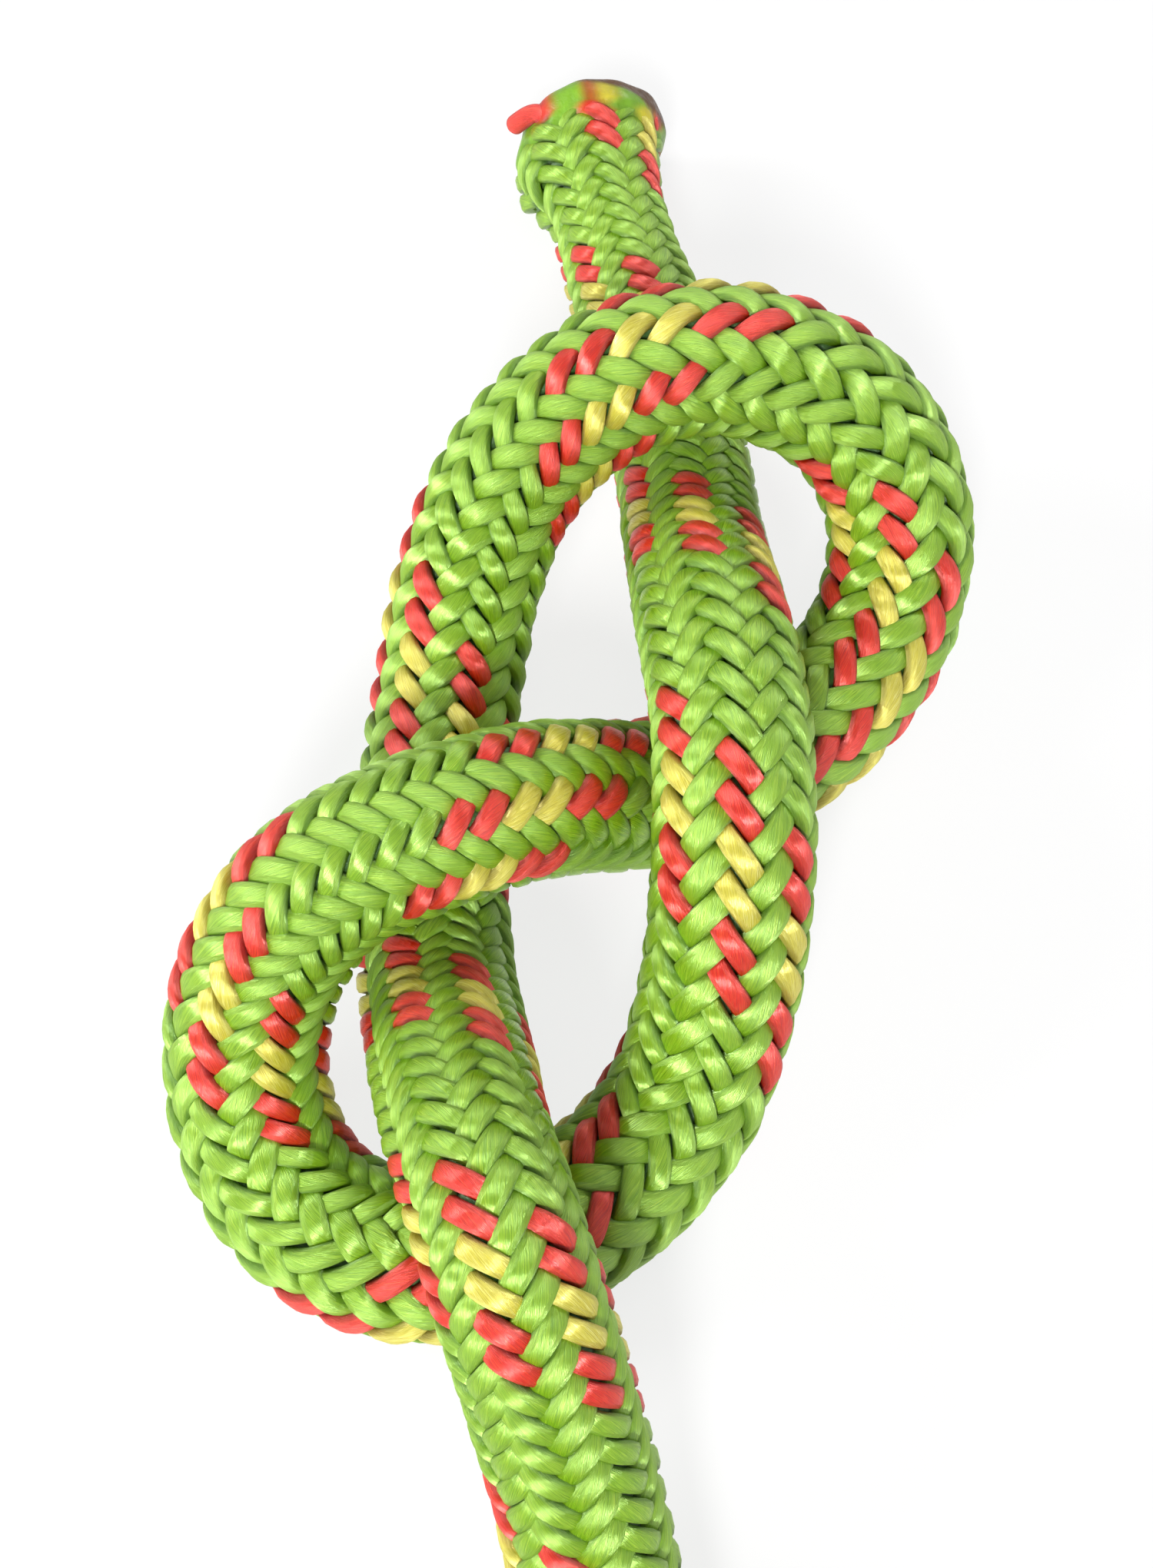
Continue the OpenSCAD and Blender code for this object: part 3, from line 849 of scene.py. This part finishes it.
def burnt_skin(name, profile, burnt_at, radius_at):
    """Closed skin round an end of the rope, tinted by the yarns that ran into it, with painted shade in
    the braid's grooves.

    The profile is rows of length along the rope and radius; radius_at may change that radius.
    """
    line = spline(profile, SKIN_STEPS)
    s = np.repeat(line[:, :1], SKIN_SIDES + 1, axis=1)
    angle = np.repeat(full_turn(SKIN_SIDES)[None], len(line), axis=0)
    relief, number = braid_at(np.maximum(s, LAST_STITCH), angle)
    points, _ = route.surface(s, angle, radius_at(s, angle, line[:, 1:], relief))
    tint = np.array([[YARN_TINTS.get(int(k), GREEN_TINT) for k in row] for row in number])
    for _ in range(TINT_BLENDS):
        around = tint[:, :-1]
        tint = (np.roll(around, 1, axis=1) + around + np.roll(around, -1, axis=1)) / 3
        tint = np.concatenate([tint, tint[:, :1]], axis=1)
    burnt = np.clip(burnt_at(s, angle), 0, 1)[..., None]
    # Painted shade: the skin is darker, down to half, in the braid's grooves; the burnt brown is its own
    # colour
    tint = tint * (0.5 + 0.5 * relief[..., None]) * (1 - burnt) + np.array(BURNT) * burnt
    mesh = rolled_strips(name, len(line), SKIN_SIDES, 1)
    strip = (soft_floor(points), along_lengths(points[:, 0]), np.ones(len(line)))
    place_strips(mesh, [strip], len(line), SKIN_SIDES, tints=tint)
    return add_piece(name, mesh, melted_yarn)


def ripple(s, angle):
    """Slow unevenness of a melted skin, in millimetres."""
    return (0.10 * np.sin(3 * angle + 1.9 * s) + 0.07 * np.sin(5 * angle - 1.1 * s + 1)
            + 0.06 * np.sin(12 * angle + 0.5))


def tail_radius(s, angle, r, relief):
    """The skin follows the tail's flare, and the braid shows in it further down."""
    shows = np.clip((s - TAIL_BARE) / TAIL_RELIEF_RISE, 0, 1)
    inner = np.clip(r / ROPE_R, 0, 1)
    flare = tail_flare(np.maximum(s, TAIL_RIM), angle) * inner
    return r + flare + ripple(s, angle) * inner - TAIL_RELIEF * shows * (1 - relief)


def tail_burnt(s, angle):
    """The flame came from the right: the skin is burnt furthest down there."""
    towards = np.clip(np.cos(angle - FLAME_FROM), 0, 1) ** 1.5
    ragged = 0.15 * np.sin(7 * angle) + 0.1 * np.sin(13 * angle + 2)
    return (BURNT_LEAST + BURNT_MORE * towards + ragged - s) / TAIL_BURNT_FADE


def tail_seal():
    """The tail's melted end, a slightly flared rim round an uneven, closed face."""
    skin = burnt_skin("tail_melted_end", TAIL_PROFILE, tail_burnt, tail_radius)
    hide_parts("tail_end_seal")
    return skin


def loose_end():
    """The end of one red yarn that the flame missed, standing off the tail's left side."""
    line = spline([route.surface(s, np.radians(a), r)[0] for s, a, r in LOOSE_MARKS], 6)
    length = along_lengths(line)
    tip = np.clip(1 - (length[-1] - length) / LOOSE_TIP, 0, 1)
    full = np.sqrt(np.clip(1 - tip ** 2, 0.02, 1))[:, None]
    sides = 16
    turn = full_turn(sides)
    head = unit(np.gradient(line, axis=0))
    flat = unit(np.cross(head, LOOSE_FACE))
    over = np.cross(flat, head)
    points = (line[:, None] + (full * LOOSE_HALF_WIDTH * np.cos(turn))[..., None] * flat[:, None]
              + (full * LOOSE_HALF_THICK * np.sin(turn))[..., None] * over[:, None])
    mesh = rolled_strips("tail_loose_yarn", len(line), sides, 1)
    place_strips(mesh, [(points, length, np.ones(len(line)))], len(line), sides)
    yarn = add_piece("tail_loose_yarn", mesh, red_yarn)
    return yarn


def stub_radius(s, angle, r, relief):
    """The braid still shows where the stub begins, and its tip is smoother."""
    shows = np.clip((route.end + STUB_LENGTH - STUB_TIP_LENGTH - s) / STUB_RELIEF_RISE, 0, 1)
    sunk = (STUB_LEAST_RELIEF + STUB_MORE_RELIEF * shows) * (1 - relief)
    uneven = STUB_RIPPLE * ripple(s, angle) - STUB_SLIMMER - sunk
    return r + uneven * np.clip(r / ROPE_R, 0, 1)


def stub_burnt(s, angle):
    ragged = 0.4 * np.sin(2 * angle) + 0.25 * np.sin(7 * angle)
    return (s - (route.end + STUB_LENGTH - STUB_BURNT + ragged)) / STUB_BURNT_FADE


def stub():
    """Last stretch of the rope, fused all round so that it threads easily."""
    tip = route.end + STUB_LENGTH
    profile = [(route.end + x, r) for x, r in STUB_START]
    profile += [(route.end + x, ROPE_R) for x in np.arange(1, STUB_LENGTH + STUB_TIP[0][0], STUB_ROW)]
    profile += [(tip + x, r) for x, r in STUB_TIP]
    skin = burnt_skin("hank_melted_end", profile, stub_burnt, stub_radius)
    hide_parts("hank_end_seal")
    return skin


tail_pieces = [tail_seal(), loose_end()]
stub_piece = stub()

# ---- the tie ----

TIE_SIDES = 72
TIE_ROW = 0.7              # along the webbing
TIE_EDGE_R = 0.6           # of the webbing's rounded selvages
TIE_THINNER = 0.1          # so that its two layers don't touch where it lies on itself
STITCH_MARGIN = 3.0        # from the edges of the webbing and of the tab
STITCH_PITCH = 2.5
STITCH_GAP = 0.16          # share of the pitch that is bare
STITCH_R = 0.24            # of the thread
STITCH_ARCH = 0.32         # how far a stitch rises from its holes to its middle
STITCH_SUNK = 0.19         # how far its ends are drawn into the webbing
UPWARDS = np.array([0.0, 0.0, 1.0])


def tie_path():
    """Middle line of the webbing, seen along the rope, and the lengths along it."""
    half_w = (2 * NESTED_LOOPS - 1) * TURN_STEP / 2 + ROPE_R + TIE_GAP + TIE_THICKNESS / 2
    low = TIE_THICKNESS / 2
    high = WAIST_TOP_Z + TIE_GAP + TIE_THICKNESS / 2
    bend = ROPE_R + TIE_THICKNESS / 2
    # Once round the hank, corner by corner
    line = [(TIE_TAB / 2, high)]
    for x, z, start in ((-half_w + bend, high - bend, 90), (-half_w + bend, low + bend, 180),
                        (half_w - bend, low + bend, 270), (half_w - bend, high - bend, 0)):
        turn = np.radians(np.linspace(start, start + 90, 12))
        line += list(zip(x + bend * np.cos(turn), z + bend * np.sin(turn)))
    # Then up and over its own start
    line += [(half_w - bend - 1, high), (TIE_TAB / 2 + 4, high + 0.4)]
    line += [(x, high + TIE_THICKNESS) for x in (TIE_TAB / 2 + 0.5, -TIE_TAB / 2)]
    line = np.array(line)
    length = along_lengths(line)
    at = np.linspace(0, length[-1], int(length[-1] / TIE_ROW))
    return np.column_stack([np.interp(at, length, line[:, k]) for k in (0, 1)]), at


def rounded_section(width, thick, edge, sides):
    """Outline of a flat strip with round edges, in equal steps from its right edge."""
    turn = np.linspace(0, 2 * np.pi, 721)
    corner = np.column_stack([edge * np.cos(turn), edge * np.sin(turn)])
    line = corner + np.sign(np.round(corner, 9)) * [width / 2 - edge, thick / 2 - edge]
    length = along_lengths(line)
    at = np.linspace(0, length[-1], sides + 1)
    return np.column_stack([np.interp(at, length, line[:, k]) for k in (0, 1)]), length[-1]


def tie():
    """The strip of webbing round the hank's waist."""
    line, at = tie_path()
    section, around = rounded_section(TIE_WIDTH, TIE_THICKNESS - TIE_THINNER, TIE_EDGE_R, TIE_SIDES)
    rows = len(line)
    head = unit(np.gradient(line, axis=0))
    middle = np.column_stack([line[:, 0] + HANK_MID_X, np.full(rows, TIE_MID_Y), line[:, 1]])
    outward = np.column_stack([head[:, 1], np.zeros(rows), -head[:, 0]])
    # The selvages pull in and out a little, and the cut ends are fused thin
    draw = 1 + 0.006 * np.sin(at / 4.1) + 0.004 * np.sin(at / 1.7)
    ends = np.sqrt(np.clip(np.minimum(at, at[-1] - at) / 0.6, 0.05, 1))
    points = ((middle + ROUTE_SHIFT)[:, None]
              + (section[:, 0] * draw[:, None])[..., None] * np.array([0, 1, 0])
              + (section[:, 1] * ends[:, None])[..., None] * outward[:, None])
    mesh = rolled_strips("hank_tie_webbing", rows, TIE_SIDES, 1)
    place_strips(mesh, [(soft_floor(points, edge=0.06), at, np.ones(rows))], rows, TIE_SIDES)
    # Across the webbing its UV map is in millimetres too
    write_uv(mesh, read_uv(mesh) * [1, around])
    band = add_piece("hank_tie_webbing", mesh, webbing_charcoal)
    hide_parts("hank_tie")
    return band


def stitch_row(a, b, rows, sides):
    """Strips of the stitches from one corner of the seam to another."""
    length = np.linalg.norm(b - a)
    count = int(length / STITCH_PITCH)
    head = (b - a) / length
    flat = np.cross(head, UPWARDS)
    share = np.linspace(0, 1, rows)
    turn = full_turn(sides)
    r = STITCH_R * np.sqrt(np.clip(1 - (2 * share - 1) ** 6, 0.05, 1))[:, None]
    strips = []
    for k in range(count):
        start = a + head * length * (k + STITCH_GAP / 2) / count
        line = start + head * (share * length * (1 - STITCH_GAP) / count)[:, None]
        line[:, 2] += STITCH_ARCH * np.sin(np.pi * share) - STITCH_SUNK
        points = (line[:, None] + (r * np.cos(turn))[..., None] * flat
                  + (r * np.sin(turn))[..., None] * UPWARDS)
        strips.append((points, along_lengths(line), np.ones(rows)))
    return strips


def stitches():
    """Box and cross of thread that holds the tie's end down."""
    top = WAIST_TOP_Z + TIE_GAP + 2 * TIE_THICKNESS
    middle = np.array([HANK_MID_X, TIE_MID_Y, top]) + ROUTE_SHIFT
    x, y = TIE_TAB / 2 - STITCH_MARGIN, TIE_WIDTH / 2 - STITCH_MARGIN
    corners = [middle + corner for corner in ((-x, -y, 0), (x, -y, 0), (x, y, 0), (-x, y, 0))]
    strips, rows, sides = [], 9, 8
    for first, last in ((0, 1), (1, 2), (2, 3), (3, 0), (0, 2), (1, 3)):
        strips += stitch_row(corners[first], corners[last], rows, sides)
    mesh = rolled_strips("hank_tie_stitches", rows, sides, len(strips))
    place_strips(mesh, strips, rows, sides, [0] * len(strips), [1] * len(strips))
    thread = add_piece("hank_tie_stitches", mesh, sewing_thread)
    return thread


tie()
stitches()

for obj in bpy.data.objects:
    if obj.name.startswith("core_strand"):
        obj.data.materials.clear()
        obj.data.materials.append(core_white)

# ---- floor, light and camera ----

SWEEP_PROFILE = [(0, 0), (0.6, 0), (1.4, 0), (1.9, 0.07), (2.25, 0.3), (2.45, 0.7), (2.5, 1.3), (2.5, 2.2)]
FLOOR_WHITE = (0.8, 0.8, 0.8, 1)
FLOOR_GLOW = 0.8           # share of the white floor that its shadows leave alone
GLOW_NEAR, GLOW_FAR = 0.3, 0.9    # from the one to the other the floor comes to glow all by itself
LAMP_AIM = (0.0, 0.12, 0.0)
WORLD_STRENGTH = 0.23
LENS, SENSOR = 39.4, 36    # in millimetres
CAMERA_PLACE = (0.00299656, 0.0845122, 0.1188)
CAMERA_TILT = 22           # degrees off straight down


def floor_material():
    """White paper that takes a soft shadow, and whose white doesn't fall off with distance."""
    n = Nodes("paper_white")
    n.set(base_color=FLOOR_WHITE, roughness=0.9, specular_ior_level=0.1)
    path = n.add("LightPath").outputs
    seen = n.math("MAXIMUM", path["Is Camera Ray"], path["Is Glossy Ray"])
    seen = n.math("MAXIMUM", seen, path["Is Transmission Ray"])
    # The lamps light the middle only, so the sweep shines by itself further out
    where = n.add("TexCoord").outputs["Object"]
    away = n.add("VectorMath", {0: where}, operation="LENGTH").outputs["Value"]
    share = n.spread(away, GLOW_NEAR, GLOW_FAR, FLOOR_GLOW, 1.0)
    glow = n.add("Emission", {"Color": (1, 1, 1, 1), "Strength": 1.0}).outputs[0]
    both = n.add("MixShader", {0: n.math("MULTIPLY", seen, share), 1: n.shader.outputs[0], 2: glow})
    n.tree.links.new(both.outputs[0], n.tree.nodes["Material Output"].inputs["Surface"])
    return n.material


def floor():
    """White studio sweep: level under the rope, and turned up all round far from it."""
    bm = bmesh.new()
    verts = [bm.verts.new((x, 0, z)) for x, z in SWEEP_PROFILE]
    edges = [bm.edges.new(pair) for pair in zip(verts, verts[1:])]
    bmesh.ops.spin(bm, geom=verts + edges, cent=(0, 0, 0), axis=(0, 0, 1), angle=2 * math.pi, steps=48,
                   use_merge=True)
    bmesh.ops.remove_doubles(bm, verts=bm.verts, dist=0.0001)
    bmesh.ops.recalc_face_normals(bm, faces=bm.faces)
    level = [f for f in bm.faces if f.calc_center_median().z < 0.01]
    bmesh.ops.reverse_faces(bm, faces=[f for f in level if f.normal.z < 0])
    mesh = bpy.data.meshes.new("floor")
    bm.to_mesh(mesh)
    bm.free()
    mesh.shade_smooth()
    obj = bpy.data.objects.new("floor", mesh)
    bpy.context.scene.collection.objects.link(obj)
    mesh.materials.append(floor_material())


def lamp(name, place, size, watts):
    light = bpy.data.lights.new(name, "AREA")
    light.shape, light.size, light.energy = "DISK", size, watts
    obj = bpy.data.objects.new(name, light)
    bpy.context.scene.collection.objects.link(obj)
    turn = (Vector(LAMP_AIM) - Vector(place)).to_track_quat("-Z", "Y")
    obj.matrix_world = Matrix.Translation(place) @ turn.to_matrix().to_4x4()


def white_world():
    world = bpy.data.worlds.new("studio")
    world.use_nodes = True
    background = world.node_tree.nodes["Background"]
    background.inputs["Color"].default_value = (1, 1, 1, 1)
    background.inputs["Strength"].default_value = WORLD_STRENGTH
    bpy.context.scene.world = world


def camera():
    data = bpy.data.cameras.new("camera")
    data.lens, data.sensor_width = LENS, SENSOR
    data.clip_start = 0.005
    obj = bpy.data.objects.new("camera", data)
    obj.location = CAMERA_PLACE
    obj.rotation_euler = (math.radians(CAMERA_TILT), 0, 0)
    bpy.context.scene.collection.objects.link(obj)
    bpy.context.scene.camera = obj


floor()
lamp("window_left", (-0.52, 0.20, 0.32), size=0.25, watts=2.6)
lamp("front", (-0.10, -0.34, 0.44), size=0.15, watts=4.6)
lamp("overhead", (0.0, 0.12, 0.65), size=0.25, watts=0.3)
lamp("back_right", (0.30, 0.50, 0.35), size=0.25, watts=1.0)
white_world()
bpy.context.scene.view_settings.view_transform = "Standard"
camera()
